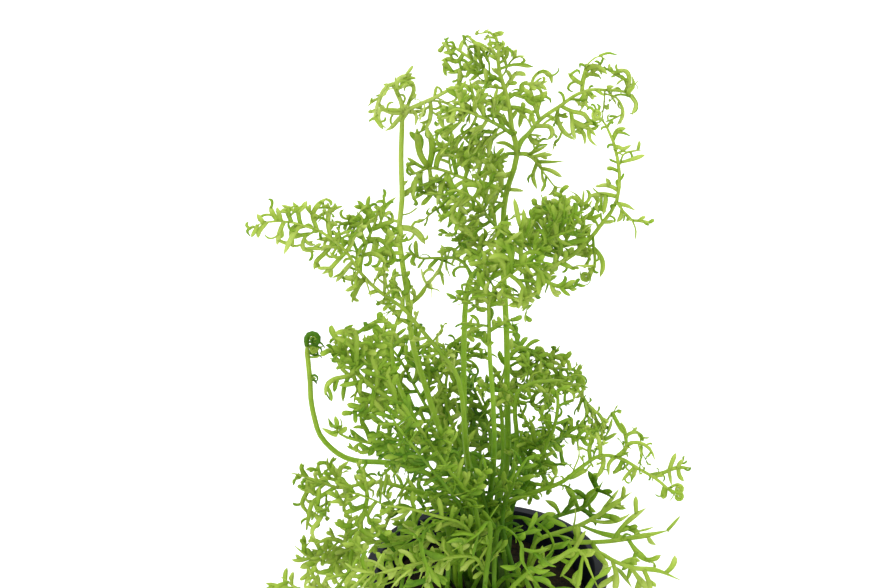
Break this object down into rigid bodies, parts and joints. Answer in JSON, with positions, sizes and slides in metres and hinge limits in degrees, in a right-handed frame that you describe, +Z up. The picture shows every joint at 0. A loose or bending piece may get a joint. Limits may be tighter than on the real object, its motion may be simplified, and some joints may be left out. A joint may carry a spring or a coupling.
{
  "type": "water sprite",
  "caption": "Water sprite, an aquarium fern with finely divided arching fronds and a curled fiddlehead, rising from its crown in a slotted net pot.",
  "frame": {"origin": "centre of the pot's flat underside", "axes": "+Z up, +X to the plant's right as seen from the front, +Y to its back"},
  "size_m": [0.0874, 0.0821, 0.1741],
  "materials": {
    "frond_leaf": "soft semi-matt, slightly translucent leaf",
    "young_leaf": "soft semi-matt, slightly translucent leaf",
    "crown_tissue": "matt, fibrous",
    "plug_fibre": "rough, damp fibre",
    "pot_plastic": "satin moulded"
  },
  "bodies": {
    "root": {"back_centre_frond": "frond_leaf", "back_left_frond": "frond_leaf", "back_right_frond": "frond_leaf", "back_upright_frond": "frond_leaf", "bud_frond_left": "frond_leaf", "crown": "crown_tissue", "front_upright_left": "frond_leaf", "front_upright_middle": "frond_leaf", "front_upright_right": "frond_leaf", "growing_plug": "plug_fibre", "juvenile_front_1": "young_leaf", "juvenile_front_10": "young_leaf", "juvenile_front_11": "young_leaf", "juvenile_front_4": "young_leaf", "juvenile_front_5": "young_leaf", "juvenile_front_6": "young_leaf", "juvenile_front_7": "young_leaf", "juvenile_front_8": "young_leaf", "juvenile_front_9": "young_leaf", "juvenile_right_1": "young_leaf", "juvenile_right_2": "young_leaf", "juvenile_right_3": "young_leaf", "juvenile_right_4": "young_leaf", "juvenile_right_5": "young_leaf", "left_crossing_frond": "frond_leaf", "left_diagonal_frond": "frond_leaf", "left_diagonal_pinna_upper": "frond_leaf", "left_fiddlehead": "frond_leaf", "left_low_frond": "frond_leaf", "low_left_frond_1": "frond_leaf", "low_left_frond_2": "frond_leaf", "low_left_frond_3": "frond_leaf", "low_left_frond_4": "frond_leaf", "middle_centre_frond": "frond_leaf", "middle_left_frond": "frond_leaf", "middle_low_left_frond": "frond_leaf", "middle_upper_frond": "frond_leaf", "pot": "pot_plastic", "right_arch_frond": "frond_leaf", "right_arch_pinna_back": "frond_leaf", "right_arch_pinna_inner": "frond_leaf", "right_arch_pinna_left": "frond_leaf", "right_arching_frond": "frond_leaf", "right_inner_frond": "frond_leaf", "right_low_frond": "frond_leaf", "right_middle_frond": "frond_leaf", "tall_centre_frond": "frond_leaf", "tall_centre_pinna_high_left": "frond_leaf", "tall_centre_pinna_low_left": "frond_leaf", "tall_centre_pinna_mid_left": "frond_leaf", "tall_centre_pinna_right": "frond_leaf", "tall_centre_pinna_top_left": "frond_leaf", "tall_left_frond": "frond_leaf", "upright_centre_frond": "frond_leaf", "upright_centre_pinna": "frond_leaf"}
  },
  "joints": []
}
